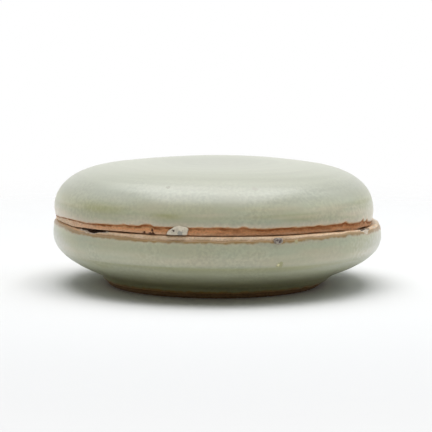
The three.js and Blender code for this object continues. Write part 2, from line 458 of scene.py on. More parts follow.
class Paint:
    """Short ways to add and join the nodes of one material."""

    def __init__(self, name):
        self.material = bpy.data.materials.new(name)
        self.material.use_nodes = True
        self.tree = self.material.node_tree
        self.shader = self.tree.nodes["Principled BSDF"]
        metres = self.new("TexCoord").outputs["Object"]
        self.mm = self.new("VectorMath", {0: metres, "Scale": 1 / MM}, operation="SCALE").outputs[0]

    def new(self, kind, inputs=None, **settings):
        node = self.tree.nodes.new("ShaderNode" + kind)
        for name, value in settings.items():
            setattr(node, name, value)
        for key, value in (inputs or {}).items():
            self.join(node.inputs[key], value)
        return node

    def join(self, socket, value):
        if isinstance(value, bpy.types.NodeSocket):
            self.tree.links.new(value, socket)
        else:
            socket.default_value = value

    def attribute(self, name):
        return self.new("Attribute", attribute_name=name).outputs["Fac"]

    def math(self, operation, a, b=0.0):
        return self.new("Math", {0: a, 1: b}, operation=operation).outputs[0]

    def times(self, a, b):
        return self.math("MULTIPLY", a, b)

    def ease(self, value, low, high, start=0.0, end=1.0):
        """A smooth step from start to end as the value goes from low to high."""
        inputs = {"Value": value, "From Min": low, "From Max": high, "To Min": start, "To Max": end}
        return self.new("MapRange", inputs, interpolation_type="SMOOTHSTEP").outputs[0]

    def mix(self, share, a, b):
        node = self.new("Mix", data_type="RGBA")
        self.join(node.inputs[0], share)
        self.join(node.inputs[6], a)
        self.join(node.inputs[7], b)
        return node.outputs[2]

    def noise(self, size, stretch=(1, 1, 1), detail=2.0, rough=0.5):
        """Cloudy values of about 0 to 1, with clouds of a size in millimetres times their stretch."""
        scale = tuple(1 / (size * s) for s in stretch)
        at = self.new("VectorMath", {0: self.mm, 1: scale}, operation="MULTIPLY").outputs[0]
        inputs = {"Vector": at, "Scale": 1.0, "Detail": detail, "Roughness": rough}
        return self.new("TexNoise", inputs).outputs["Fac"]

    def bump(self, height, depth):
        """A normal for a height of 0 to 1 that stands for a depth in millimetres."""
        return self.new("Bump", {"Height": height, "Distance": depth * MM}).outputs["Normal"]

    def marks(self, colour, marks):
        """The colour with ragged spots on it, each round a point in millimetres."""
        for point, radius, mark_colour in marks:
            inputs = {0: self.mm, 1: point}
            apart = self.new("VectorMath", inputs, operation="DISTANCE").outputs["Value"]
            fray = MARK_FRAY * radius
            ragged = self.math("ADD", apart, self.ease(self.noise(0.6), 0.3, 0.7, -fray, fray))
            colour = self.mix(self.ease(ragged, radius * 0.6, radius, 1.0, 0.0), colour, mark_colour)
        return colour

    def finish(self, colour, roughness, normal, ior):
        inputs = {"Base Color": colour, "Roughness": roughness, "Normal": normal, "IOR": ior}
        for name, value in inputs.items():
            self.join(self.shader.inputs[name], value)
        return self.material


CELADON = srgb(176, 176, 146)
CELADON_BLUE = srgb(170, 178, 155)
CELADON_WARM = srgb(184, 176, 150)
# Grey painted on the crown as a sheen
CROWN_SHEEN_GREY = srgb(172, 175, 160)
CELADON_OLIVE = srgb(150, 150, 98)
THIN_GLAZE = srgb(214, 200, 176)
IRON_SPOT = srgb(110, 92, 64)
SCAR = srgb(214, 202, 184)
# Dark brown for dirt and painted shade: in flake hollows, on the bare foot and on the seat at the right
DIRT_AND_SHADE = srgb(66, 41, 24)
GLAZE_IOR = 1.6
GLAZE_ROUGHNESS = 0.3
CLAY_IOR = 1.4
CLAY_ROUGHNESS = 0.85
# How far the clay's colour shows through at the edge of the glaze, and how thin the glaze is there
GLAZE_LOOKS = {
    "box_glaze": {"halo": srgb(148, 108, 32), "halo_width": 1.5, "thin_share": 0.4},
    "cover_glaze": {"halo": srgb(200, 158, 112), "halo_width": 0.6, "thin_share": 0.8},
}
# Colours of bare clay, with the width and the strength of the burnt line beside the glaze
CLAY_LOOKS = {
    "box_clay": {
        "body": srgb(200, 160, 112),
        "wear_and_light": srgb(244, 216, 184),
        "line": srgb(166, 120, 64),
        "line_width": 0.5,
        "line_share": 0.5,
    },
    "cover_clay": {
        "body": srgb(242, 177, 124),
        "wear_and_light": srgb(244, 222, 194),
        "line": srgb(152, 92, 48),
        "line_width": 1.1,
        "line_share": 1.0,
    },
}
SPOT_SPACING = 7.5  # of the places where an iron spot may sit
# Depth of the waves in the glaze's skin, and of the pits in clay and grit
GLAZE_WAVES = 0.015
CLAY_PITS = 0.12
GRIT_PITS = 0.15


def celadon_glaze(name, marks):
    """Grey-green glaze: cloudy, bluer near its edge, greyer towards the crown as a painted sheen, olive in
    pooled streaks, and warm and pale where it is thin. Beside the bare clay the clay's colour shows
    through it. Its glaze_shade attribute carries painted light and shade."""
    look = GLAZE_LOOKS[name]
    p = Paint(name)
    edge = p.attribute("glaze_edge")

    # Clouds and streaks of near colours
    clouds = p.noise(24, (1, 1, 0.5), 3)
    near = p.ease(edge, 1.0, 6.5, 0.15, 0.0)
    colour = p.mix(p.math("ADD", p.ease(clouds, 0.4, 0.7, 0.0, 0.5), near), CELADON, CELADON_BLUE)
    colour = p.mix(p.ease(p.noise(4, (5, 5, 1), 3), 0.42, 0.72, 0.0, 0.5), colour, CELADON_WARM)
    # Greyer towards the crown: a painted sheen
    colour = p.mix(p.ease(edge, 5, 14, 0.0, 0.8), colour, CROWN_SHEEN_GREY)

    # Thin glaze along the edge and in patches, and pooled glaze
    fray = p.math("ADD", edge, p.ease(p.noise(2.2, detail=3), 0.3, 0.7, -0.25, 0.25))
    colour = p.mix(p.ease(fray, 0.4, 2.6, look["thin_share"], 0.0), colour, THIN_GLAZE)
    streaks = p.noise(2.4, (5, 5, 1), 1)
    pool = p.times(p.attribute("glaze_pool"), p.ease(streaks, 0.3, 0.7, 0.92, 1.0))
    colour = p.mix(pool, colour, CELADON_OLIVE)
    thin = p.times(p.attribute("glaze_thin"), p.ease(streaks, 0.3, 0.7, 1.0, 0.7))
    colour = p.mix(thin, colour, THIN_GLAZE)

    # A fine mottle, fainter far from the edge, and painted light and shade; where the painted light is
    # strongest, at the sides, the glaze is also painted greyer, as a painted reflection
    fine = p.ease(p.noise(1.2), 0.3, 0.7, 0.09, -0.09)
    mottle = p.times(fine, p.ease(p.noise(10, (2, 2, 1)), 0.4, 0.6, 0.3, 1.0))
    mottle = p.times(mottle, p.ease(edge, 12, 24, 1.0, 0.4))
    shade = p.times(p.math("ADD", mottle, 1.0), p.attribute("glaze_shade"))
    sheen = p.ease(shade, 1.2, 1.6, 1.0, 0.5)
    colour = p.new("HueSaturation", {"Color": colour, "Value": shade, "Saturation": sheen}).outputs[0]

    # The clay's colour through the edge, a few iron spots, and single marks
    halo = p.ease(fray, look["halo_width"] * 0.35, look["halo_width"], 0.9, 0.0)
    colour = p.mix(halo, colour, look["halo"])
    spots = p.new("TexVoronoi", {"Vector": p.mm, "Scale": 1 / SPOT_SPACING})
    chosen = p.ease(p.new("SeparateColor", {0: spots.outputs["Color"]}).outputs[0], 0.95, 0.97)
    spot = p.times(p.ease(spots.outputs["Distance"], 0.02, 0.05, 0.4, 0.0), chosen)
    colour = p.mix(spot, colour, IRON_SPOT)
    colour = p.marks(colour, marks)
    return p.finish(colour, GLAZE_ROUGHNESS, p.bump(p.noise(4.5, detail=0), GLAZE_WAVES), GLAZE_IOR)


def bare_clay(name, marks):
    """Unglazed stoneware: a burnt line beside the glaze, then clay that is paler where it is worn and
    where light is painted on. Where a flake is lost it is pale at the lip, and dark in the hollow with
    dirt and painted shade; the bare foot and the seat at the right are painted dark as shade."""
    look = CLAY_LOOKS[name]
    p = Paint(name)

    # Cloudy body, paler in patches where it is worn and where light is painted on
    wear_and_light = p.attribute("wear_and_light")
    clouds = p.ease(p.noise(3, (2, 2, 0.5), 4), 0.45, 0.75, 0.0, 0.4)
    colour = p.mix(p.math("ADD", p.attribute("burnt"), clouds), look["body"], look["line"])
    patchy = p.ease(p.noise(2.2, (2, 2, 1), 4), 0.3, 0.6, 0.6, 1.0)
    colour = p.mix(p.times(wear_and_light, patchy), colour, look["wear_and_light"])

    # A frayed and broken burnt line, narrower where the clay is paler from wear and painted light
    from_glaze = p.times(p.attribute("glaze_edge"), p.ease(wear_and_light, 0.0, 1.0, -1.0, -2.2))
    fray = p.math("ADD", from_glaze, p.ease(p.noise(1.8, detail=3), 0.3, 0.7, -0.25, 0.25))
    broken = p.ease(p.noise(3.5, detail=3), 0.35, 0.6, 0.6 * look["line_share"], look["line_share"])
    near = p.ease(fray, look["line_width"] * 0.4, look["line_width"] * 1.3, 1.0, 0.0)
    colour = p.mix(p.times(near, broken), colour, look["line"])

    # Scars, dirt and painted shade, grain and single marks
    colour = p.mix(p.ease(p.attribute("scar"), 0.2, 0.8), colour, SCAR)
    darkening = p.ease(p.noise(1.0, detail=3), 0.35, 0.65, 1.0, 0.86)
    colour = p.mix(p.times(p.ease(p.attribute("dirt_and_shade"), 0.2, 0.8), darkening), colour, DIRT_AND_SHADE)
    grain = p.noise(0.5, (1.6, 1.6, 1), 4, 0.7)
    shade = p.ease(grain, 0.35, 0.75, 1.08, 0.72)
    colour = p.new("HueSaturation", {"Color": colour, "Value": shade}).outputs[0]
    colour = p.marks(colour, marks)
    height = p.math("ADD", grain, p.noise(1.6, detail=3))
    return p.finish(colour, CLAY_ROUGHNESS, p.bump(height, CLAY_PITS), CLAY_IOR)


def kiln_grit(name, look, marks):
    """A rough lump that took some glaze in the firing, with dark pits."""
    p = Paint(name)
    patchy = p.ease(p.noise(look["patch_size"], detail=3), 0.45, 0.6)
    colour = p.mix(patchy, look["colour"], look["patch_colour"])
    colour = p.mix(p.ease(p.noise(0.8), 0.68, 0.74), colour, look["pit_colour"])
    colour = p.marks(colour, marks)
    roughness = p.ease(p.noise(1.5), 0.35, 0.65, 0.35, 0.7)
    return p.finish(colour, roughness, p.bump(p.noise(0.6, detail=4), GRIT_PITS), CLAY_IOR)


# Pieces

# Places where the edge of the cover's glaze rises, or hangs lower, and how far
COVER_LINE = (
    about(188, 26, rise=-1.4),
    about(222, 15, rise=-0.7),
    about(237.8, 2, rise=0.3),
    about(245.4, 2.1, rise=0.75),
    about(247.6, 2.3, rise=0.85),
    about(264, 22, rise=0.25),
    about(280.1, 2.4, rise=0.55),
    about(286.5, 7, rise=-0.4),
    about(298, 2.2, rise=0.25),
    about(300.5, 6, rise=-0.2),
    about(309.1, 2.4, rise=0.45),
    about(310, 32, rise=-0.35),
    about(322.9, 3, rise=0.75),
    about(335.9, 2.4, rise=1.2),
    about(340.4, 2.2, rise=1.2),
    about(353, 26, rise=-1.5),
)
# The same for the glaze below the box's rim
RIM_LINE = (about(195, 34, rise=1.2), about(246, 12, rise=-0.4), about(322, 36, rise=0.8))
# How each edge of the glaze wanders along the outline, and how far to either side the surface follows
BOX_EDGES = (
    {"place": "rim_line", "rises": RIM_LINE, "wave": 0.2, "kind": EDGE_WAVES, "seed": 11, "reach": 4},
    {"place": "lip_line", "rises": (), "wave": 0.5, "kind": EDGE_WAVES, "seed": 12, "reach": 3},
    {"place": "foot_line", "rises": (), "wave": 0.25, "kind": EDGE_WAVES, "seed": 13, "reach": 3},
)
COVER_EDGES = (
    {"place": "outer_line", "rises": COVER_LINE, "wave": 0.2, "kind": OUTER_WAVES, "seed": 31, "reach": 4},
    {"place": "inner_line", "rises": (), "wave": 0.3, "kind": INNER_WAVES, "seed": 32, "reach": 1.4},
)
# Places where the cover's edge stands off the seat
EDGE_LIFTS = (
    about(217, 7, rise=0.2),
    about(236, 18, rise=0.25),
    about(320, 3.5, rise=0.35),
    about(338, 10, rise=0.7),
)
# Flakes lost from the outer edge of the box's rim. Dirt and painted shade lie in the hollow of those with
# a pale lip, which has that width.
FLAKES = (
    {"angle": 221.8, "length": 8.5, "width": 4.6, "depth": 1.35, "pale_lip": 1.4},
    {"angle": 222.2, "length": 18, "width": 3.8, "depth": 0.7, "pale_lip": 1.4},
    {"angle": 333, "length": 9, "width": 2.6, "depth": 0.9, "pale_lip": 1.9},
    {"angle": 332.5, "length": 4.5, "width": 1.3, "depth": 1.7},
    {"angle": 343, "length": 8, "width": 1.2, "depth": 0.5},
)
FLAKE_ROUGH = 0.15  # how uneven a flake's skin is, as a share
DIRT_AND_SHADE_DEPTH = 0.3  # share of a flake's depth from which the dirt and painted shade in it are full

# Patches of colour. Each lies about an angle, or all round, and round a middle in millimetres.

# On the cover, by the length from the edge of its glaze: pooled glaze, thin glaze, painted light near the
# edge and at both sides, and painted shade on the far crown
COVER_POOLS = (
    about(227, 21, middle=5.8, reach=3.6, share=0.75),
    about(254, 9, middle=4.2, reach=2, share=0.8),
    about(301, 12, middle=3.4, reach=2, share=0.5),
)
COVER_THINS = (
    about(243.9, 10, middle=2, reach=2.2, share=0.65),
    about(329, 16, middle=3.4, reach=1.8, share=0.6),
    about(310, 16, middle=6, reach=1.6, share=0.35),
    about(194, 30, middle=1.5, reach=3, share=0.9),
    about(350, 26, middle=2, reach=4, share=0.6),
)
COVER_POOL_BAND = ({"middle": 5, "reach": 4, "share": 0.7},)
COVER_THIN_BAND = ({"middle": 5, "reach": 5, "share": 0.5},)
COVER_EDGE_LIGHT = ({"middle": 5, "reach": 7, "share": 0.2},)
COVER_SIDE_LIGHT = tuple(about(angle, 26, middle=3, reach=6, share=0.2) for angle in (190, 350))
CROWN_SHADE = {"share": 0.13, "start": 40.0, "length": 20.0}
# On the cover's bare clay: worn pale along the edge, worn and painted with light at both sides, burnt at
# the right of the front
COVER_EDGE_WORN = ({"middle": 0, "reach": 1.4, "share": 0.5},)
COVER_WEAR_AND_LIGHT = (about(195, 46, rise=1), about(345, 16, rise=0.35))
COVER_BURNT = (about(306, 60, rise=0.45),)
# On the box, by the length below the edge of its glaze: thin glaze, and painted light on the belly,
# strongest at both sides
BELLY_THIN = ({"middle": 8, "reach": 4.5, "share": 0.3},)
BELLY_LIGHT = ({"middle": 5.5, "reach": 6.5, "share": 0.22},)
BELLY_MIDDLE = 6.0
BELLY_REACH = 14.0
BELLY_SIDE_LIGHT = (about(190, 30, rise=0.42), about(240, 26, rise=0.08), about(350, 40, rise=0.36))
# On the box, by its height: pooled glaze, and painted light where the belly turns under
LOW_BELLY_POOLS = (about(224, 15, middle=12.6, reach=2.8, share=0.6),)
LOW_BELLY_LIGHT = ({"middle": 12, "reach": 5.5, "share": 0.22},)
LOW_BELLY_SIDE_LIGHT = (
    about(215, 24, middle=13, reach=5, share=0.17),
    about(318, 34, middle=13, reach=5, share=0.2),
)
# On the box's rim, by the length from its outer edge: scars, painted shade on the seat under the cover's
# edge, worn clay that on the crest is partly a painted highlight, and clay burnt to ochre
EDGE_SCAR = {"middle": RIM_ROUND, "reach": 1.4, "share": 0.5}
RIM_SCARS = (
    about(265, 7, **EDGE_SCAR),
    about(280, 8, **EDGE_SCAR),
    about(330, 26, **EDGE_SCAR),
    about(0, 30, middle=2, reach=5, share=0.75),
    about(183, 20, middle=0, reach=2.5, share=0.6),
    about(354, 18, middle=-0.5, reach=3, share=0.6),
)
# Painted shade on the seat under the cover's edge at the right
SEAT_SHADE = (about(0, 30, middle=5, reach=4.5, share=0.48),)
# Worn clay on the crest and the seat; on the crest the paleness is partly a painted highlight
RIM_WEAR_AND_LIGHT = ({"middle": 0.6, "reach": 2.2, "share": 1}, {"middle": 4, "reach": 4, "share": 0.6})
RIM_LESS_WEAR_AND_LIGHT = (about(212, 22, rise=-0.5),)
RIM_OCHRE = (about(232, 12, middle=-1, reach=1.6, share=0.9),)
BARE_SCAR = 0.5  # share of a scar above which the glaze is gone
# How much painted shade darkens the glaze towards the foot and darkens the bare foot, and how cloudy the
# glaze is
RUN_SHADE = 0.32
FOOT_SHADE = 0.56
CLOUD_SHADE = 0.04

# Single marks: specks on the box's wall, pits in the crown, and burnt pits in the cover's edge
WALL_MARKS = (
    {"angle": 291.3, "z": 15.6, "radius": 1.6, "colour": srgb(174, 172, 128)},
    {"angle": 291, "z": 15.6, "radius": 0.7, "colour": srgb(226, 220, 170)},
    {"angle": 297, "z": 23.8, "radius": 1, "colour": srgb(188, 180, 136)},
)
CROWN_MARKS = (
    {"angle": 251.8, "from_axis": 54.3, "z": 43.4, "radius": 1, "colour": srgb(152, 150, 132)},
    {"angle": 286.3, "from_axis": 54.8, "z": 43.1, "radius": 1.3, "colour": srgb(164, 162, 146)},
)
BURNT_PIT = srgb(84, 50, 32)
EDGE_PITS = (
    {"angle": 245.6, "up": 0.8, "radius": 0.6},
    {"angle": 247.9, "up": 0.4, "radius": 0.9},
    {"angle": 248.9, "up": 0.6, "radius": 0.8},
    {"angle": 248.6, "up": 1.8, "radius": 0.6},
)


def around(axis, angle, radius, z):
    """A point at an angle and radius round an upright axis at X."""
    turn = math.radians(angle)
    return (axis + radius * math.cos(turn), radius * math.sin(turn), z)


def turner_rings(s, seed, edge, inside):
    """Low rings of the turner's hand, higher inside the piece. They fade out towards the glaze's edge."""
    height = np.where(inside, RING_INSIDE, RING_OUTSIDE)
    return s.waves(seed, TURNER_RINGS) * height * np.clip(edge / RING_FADE, 0, 1)


def soft_streaks(s, seed, kind):
    """Soft streaks of 0 to 1 over a surface."""
    return np.clip(kind["level"] + s.waves(seed, kind), 0, 1)


def outside_place(s, height):
    """Length along the box's outline at a height on its outside, above the bare foot."""
    stretch = slice(s.rows["foot_line"], s.rows["rim_line"] + 1)
    return np.interp(height, s.points[stretch, 1], s.length[stretch])


def belly_mark(s):
    """Where the mark round the belly runs along the outline at each angle, and how strong it is there."""
    middle = outside_place(s, BELLY_MARK["z"])
    near = turn_bump(s.angle, BELLY_MARK["angle"], BELLY_MARK["turn"])
    strength = np.clip(BELLY_MARK["least"] + near, 0, 1)
    return middle + BELLY_MARK["wave"] * s.round_waves(23, MARK_WAVES), strength


def make_box():
    s = Surface(box_outline())
    for glaze_edge in BOX_EDGES:
        s.wander(glaze_edge)
    edge = s.from_glaze_edge(("recess_line", "foot_line", "rim_line", "lip_line"))
    s.out += glaze_thickness(edge) + turner_rings(s, 21, edge, s.along > s.place["lip_line"])
    s.out += BOX_GRAIN * s.waves(22, CLAY_GRAIN) * (edge < 0)
    mark, marked = belly_mark(s)
    s.out += BELLY_MARK["ridge"] * bump(s.along, mark, BELLY_MARK["width"]) * marked
    step = outside_place(s, FOOT_HEIGHT)
    s.out += s.rises(FOOT_FILL) * bump(s.along, step, FILL_REACH)

    corners = s.corners()
    height = corners[..., 2].copy()
    from_rim = s.along - s.place["rim_edge"]
    corners[..., 0] += FOOT_SHIFT * np.clip(1 - height / FOOT_SHIFT_TOP, 0, 1)
    dips = np.clip(s.round_waves(24, RIM_WAVES), 0, DIP_LIMIT)
    corners[..., 2] -= RIM_DIPS * dips * bump(from_rim, RIM_ROUND, RIM_ROUND * 2)
    scar, dirt_and_shade = lose_flakes(s, corners)
    corners[..., :2] *= 1 - RIM_CURL / BOX_RADIUS * bump(from_rim, 0, CURL_REACH)[..., None]
    bent = np.clip((height - BEND_FROM) / (rim_height - BEND_FROM), 0, 1)
    crest = np.clip(2 - from_rim / CREST_RUN, 0, 1)
    seat_bend = s.rises(RIM_BENDS)
    crest_bend = s.rises(RIM_BENDS, "crest")
    corners[..., 2] += bent * (seat_bend + crest * (crest_bend - seat_bend))

    bare_foot = (height < FOOT_HEIGHT) * (edge < 0)
    scar = np.maximum(scar, s.patches(from_rim, RIM_SCARS))
    # Painted shade on the bare foot and on the seat at the right, with the dirt and shade in the flakes
    dirt_and_shade = np.maximum(dirt_and_shade, np.maximum(FOOT_SHADE * bare_foot, s.patches(from_rim, SEAT_SHADE)))
    ochre = s.patches(from_rim, RIM_OCHRE)
    wear_and_light = s.patches(from_rim, RIM_WEAR_AND_LIGHT) * (1 + s.rises(RIM_LESS_WEAR_AND_LIGHT))
    attributes = {
        "glaze_edge": edge,
        **box_glaze_looks(s, height, mark, marked),
        "wear_and_light": wear_and_light * (1 - ochre),
        "burnt": ochre,
        "scar": scar,
        "dirt_and_shade": dirt_and_shade,
    }
    marks = []
    for at in WALL_MARKS:
        row = np.searchsorted(s.length, outside_place(s, at["z"]))
        point = corners[row, round(at["angle"] * SEGMENTS / 360)]
        marks.append((tuple(point), at["radius"], at["colour"]))
    materials = (celadon_glaze("box_glaze", marks), bare_clay("box_clay", []))
    clay = ((edge < 0) | (scar > BARE_SCAR)).astype(int)
    box = turned_mesh("box_body", corners, attributes, materials, clay)
    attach(box, "box")
    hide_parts("box")


def box_glaze_looks(s, height, mark, marked):
    """Where the box's glaze is pooled and thin, and its tone: cloudy, with painted light on the belly and
    painted shade towards the foot.
    """
    below_line = s.place["rim_line"] - s.along
    outside = s.along < s.place["rim_line"]
    run = np.clip(1 - height / FOOT_POOL_TOP, 0, 1) * outside
    past_mark = (s.along - mark) / BELLY_MARK["edge"]
    below = np.clip(-past_mark, 0, 1) * bump(s.along, mark, BELLY_MARK["pool_reach"])
    above = np.clip(past_mark, 0, 1) * bump(s.along, mark, BELLY_MARK["thin_reach"])

    pool = np.maximum(BELLY_MARK["pool"] * below * soft_streaks(s, 25, MARK_STREAKS), run)
    pool = np.maximum(pool, s.patches(height, LOW_BELLY_POOLS) * outside)
    thin = s.patches(below_line, BELLY_THIN) * soft_streaks(s, 26, BELLY_STREAKS)
    thin = np.maximum(thin, BELLY_MARK["thin"] * above * marked)
    # Cloudy tone, with painted shade that grows towards the foot
    shade = 1 + CLOUD_SHADE * s.waves(27, BOX_CLOUDS) - RUN_SHADE * run
    # Painted light on the belly below the rim, strongest at both sides
    shade += s.patches(below_line, BELLY_LIGHT)
    shade += s.rises(BELLY_SIDE_LIGHT) * bump(below_line, BELLY_MIDDLE, BELLY_REACH)
    # Painted light where the belly turns under, stronger at both sides
    shade += s.patches(height, LOW_BELLY_LIGHT) * outside
    shade += s.patches(height, LOW_BELLY_SIDE_LIGHT) * outside
    return {"glaze_pool": pool, "glaze_thin": thin, "glaze_shade": shade}


def lose_flakes(s, corners):
    """Takes the flakes off the rim, and says where clay is laid bare and how much dirt and painted shade
    lie on it. They start inside the pale lip, with a soft edge."""
    scar = np.zeros_like(s.along)
    dirt_and_shade = np.zeros_like(s.along)
    rough = 1 + FLAKE_ROUGH * s.waves(28, FLAKE_GRAIN)
    for flake in FLAKES:
        depth = knock_off(corners, flake, rough)
        scar = np.maximum(scar, depth > 0)
        if "pale_lip" in flake:
            within = BOX_RADIUS - flake["pale_lip"] - np.hypot(corners[..., 0], corners[..., 1])
            darkening = np.clip(depth / DIRT_AND_SHADE_DEPTH, 0, 1) * np.clip(0.5 + within, 0, 1)
            dirt_and_shade = np.maximum(dirt_and_shade, darkening)
    return scar, dirt_and_shade


def knock_off(corners, flake, rough):
    """Takes a rough ellipsoid out of the rim: points in it move out to its skin.
    Says how deep each point lay in it, as a share."""
    out = np.array(around(0, flake["angle"], 1, 0))
    side = np.array(around(0, flake["angle"] + 90, 1, 0))
    up = np.array((0, 0, 1))
    middle = out * BOX_RADIUS + up * rim_height
    axes = np.stack([out / flake["width"], side / (flake["length"] / 2), up / flake["depth"]])
    local = (corners - middle) @ axes.T
    reach = np.linalg.norm(local, axis=-1) * rough
    inside = (reach < 1) & (reach > 0)
    pushed = middle + (local / np.maximum(reach, 1e-6)[..., None]) @ np.linalg.inv(axes).T
    corners[inside] = pushed[inside]
    return np.where(inside, 1 - reach, 0)


def make_cover():
    s = Surface(cover_outline())
    for glaze_edge in COVER_EDGES:
        s.wander(glaze_edge)
    edge = s.from_glaze_edge(("inner_line", "outer_line"))
    outside = s.along > s.place["outer_line"]
    pool_streaks = s.patches(edge, COVER_POOL_BAND) * soft_streaks(s, 42, POOL_STREAKS)
    pool = np.maximum(s.patches(edge, COVER_POOLS), pool_streaks) * outside
    s.out += glaze_thickness(edge) + turner_rings(s, 41, edge, ~outside)
    s.out += POOL_RISE * pool
    s.out += COVER_GRAIN * s.waves(43, CLAY_GRAIN) * (edge < 0)

    corners = s.corners()
    height = corners[..., 2].copy()
    radius = np.hypot(corners[..., 0], corners[..., 1])
    crown = np.clip((height - COVER_WIDEST) / (COVER_HEIGHT - COVER_WIDEST), 0, 1)
    shoulder = bump(radius, SAG_RADIUS, SAG_REACH) * (height > COVER_WIDEST)
    corners[..., 2] -= CROWN_SAG * crown
    corners[..., 2] += s.rises(CROWN_SAGS) * shoulder
    corners[..., 2] += s.rises(EDGE_LIFTS) * bump(height, 0, COVER_WIDEST)
    corners[..., 2] += s.rises(RIM_BENDS) * bump(height, 0, BEND_TOP)
    corners += np.array((COVER_AXIS, 0, COVER_BOTTOM))

    thin_streaks = s.patches(edge, COVER_THIN_BAND) * soft_streaks(s, 44, THIN_STREAKS)
    # Cloudy tone, with painted light near the edge and at both sides, and painted shade on the far crown
    shade = 1 + CLOUD_SHADE * s.waves(45, COVER_CLOUDS)
    shade += s.patches(edge, COVER_EDGE_LIGHT) + s.patches(edge, COVER_SIDE_LIGHT)
    shade -= CROWN_SHADE["share"] * np.clip((edge - CROWN_SHADE["start"]) / CROWN_SHADE["length"], 0, 1)
    none = np.zeros_like(edge)
    attributes = {
        "glaze_edge": edge,
        "glaze_pool": pool,
        "glaze_thin": np.maximum(s.patches(edge, COVER_THINS), thin_streaks) * outside,
        "glaze_shade": shade,
        "wear_and_light": np.maximum(s.patches(height, COVER_EDGE_WORN), s.rises(COVER_WEAR_AND_LIGHT)),
        "burnt": none + s.rises(COVER_BURNT),
        "scar": none,
        "dirt_and_shade": none,
    }
    crown_marks = [
        (around(COVER_AXIS, at["angle"], at["from_axis"], at["z"]), at["radius"], at["colour"])
        for at in CROWN_MARKS
    ]
    wall = COVER_RADIUS - COVER_DRAW - GLAZE
    pits = [
        (around(COVER_AXIS, at["angle"], wall, COVER_BOTTOM + at["up"]), at["radius"], BURNT_PIT)
        for at in EDGE_PITS
    ]
    materials = (celadon_glaze("cover_glaze", crown_marks), bare_clay("cover_clay", pits))
    cover = turned_mesh("cover_body", corners, attributes, materials, (edge < 0).astype(int))
    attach(cover, "cover")
    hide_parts("cover")


# The two lumps of grit. Each is sunk into its wall, moved aside and kept clear of the bottom of its solid
# by lengths in millimetres. Its form is given as shares of the solid's size: how deep and wide it is, how
# far it goes on below its widest part, how far its top leans to the right, and how rough it is.
PALE_GRIT = {
    "sink": 0.4,
    "aside": -0.7,
    "clear": 0.6,
    "deep": 1.1,
    "wide": 1.14,
    "flat": 0.1,
    "lean": 0.4,
    "rough": 0.12,
    "seed": 3.1,
    "colour": srgb(232, 222, 200),
    "patch_colour": srgb(218, 208, 188),
    "patch_size": 2.5,
    "pit_colour": srgb(150, 130, 108),
    "marks": (
        {"across": -0.28, "up": 0.52, "radius": 0.45, "colour": srgb(70, 52, 40)},
        {"across": -0.18, "up": 0.42, "radius": 0.45, "colour": srgb(70, 52, 40)},
        # A grey mark on the lump's lower right: painted shade
        {"across": 0.34, "up": 0.1, "radius": 1.3, "colour": srgb(178, 175, 164)},
    ),
}
GREY_GRIT = {
    "sink": 0.5,
    "aside": 0.0,
    "clear": 0.0,
    "deep": 1.1,
    "wide": 1.0,
    "flat": 1.0,
    "lean": 0.0,
    "rough": 0.2,
    "seed": 7.4,
    "colour": srgb(178, 168, 154),
    "patch_colour": srgb(138, 127, 118),
    "patch_size": 1.0,
    "pit_colour": srgb(64, 54, 52),
    "marks": (
        {"across": -0.35, "up": 0.3, "radius": 0.6, "colour": srgb(104, 92, 90)},
        {"across": 0.2, "up": -0.3, "radius": 0.6, "colour": srgb(104, 92, 90)},
        {"across": 0.5, "up": 0.4, "radius": 0.5, "colour": srgb(104, 92, 90)},
    ),
}
GRIT_SUBDIVISIONS = 5
BROAD_BUMPS = 1.6  # bumps to a lump's radius
FINE_BUMPS = 4.0
MARK_OUT = 0.9  # how far out on the lump a mark's middle lies, as a share


def make_grit(name, node, body, slot, look):
    """A bumpy lump in the place of a packed one, sunk a little into the wall that carries it."""
    low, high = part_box(node)
    middle = (low + high) / 2
    size = high - low
    axis = COVER_AXIS * MM if body == "cover" else 0
    out = Vector((middle.x - axis, middle.y, 0)).normalized()
    side = Vector((-out.y, out.x, 0))
    up = Vector((0, 0, 1))
    bottom = low.z + look["clear"] * MM
    height = (high.z - bottom) / (1 + look["flat"])
    centre = middle - out * look["sink"] * MM + side * look["aside"] * MM
    centre.z = bottom + look["flat"] * height
    depth = look["deep"] * size.y / 2
    width = look["wide"] * size.x / 2
    seed = look["seed"]
    offset = Vector((seed, 2 * seed, 3 * seed))
    work = bmesh.new()
    bmesh.ops.create_icosphere(work, subdivisions=GRIT_SUBDIVISIONS, radius=1.0)
    for v in work.verts:
        broad = noise.noise(v.co * BROAD_BUMPS + offset)
        fine = noise.noise(v.co * FINE_BUMPS + offset)
        p = v.co * (1 + look["rough"] * (broad + fine / 2))
        rise = max(p.z, -look["flat"])
        across = (p.y + look["lean"] * p.z) / (1 + look["lean"] / 2)
        v.co = centre + out * p.x * depth + side * across * width + up * rise * height
    mesh = bpy.data.meshes.new(name)
    work.to_mesh(mesh)
    work.free()
    marks = []
    for at in look["marks"]:
        point = centre + out * depth * MARK_OUT + side * at["across"] * width + up * at["up"] * height
        marks.append((tuple(point / MM), at["radius"], at["colour"]))
    mesh.materials.append(kiln_grit(slot, look, marks))
    mesh.shade_smooth()
    grit = link(name, mesh)
    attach(grit, body)
    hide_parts(node)


# Light, floor and camera

AIM = Vector((-0.55, 0, 26.6)) * MM
ORBIT = Vector((0, 0, 22)) * MM
DISTANCE = 880.2 * MM
ELEVATION = math.radians(7.04)
SENSOR = 36
LENS = 185.06
ROLL = math.radians(0.28)  # the photograph leans a little to the right

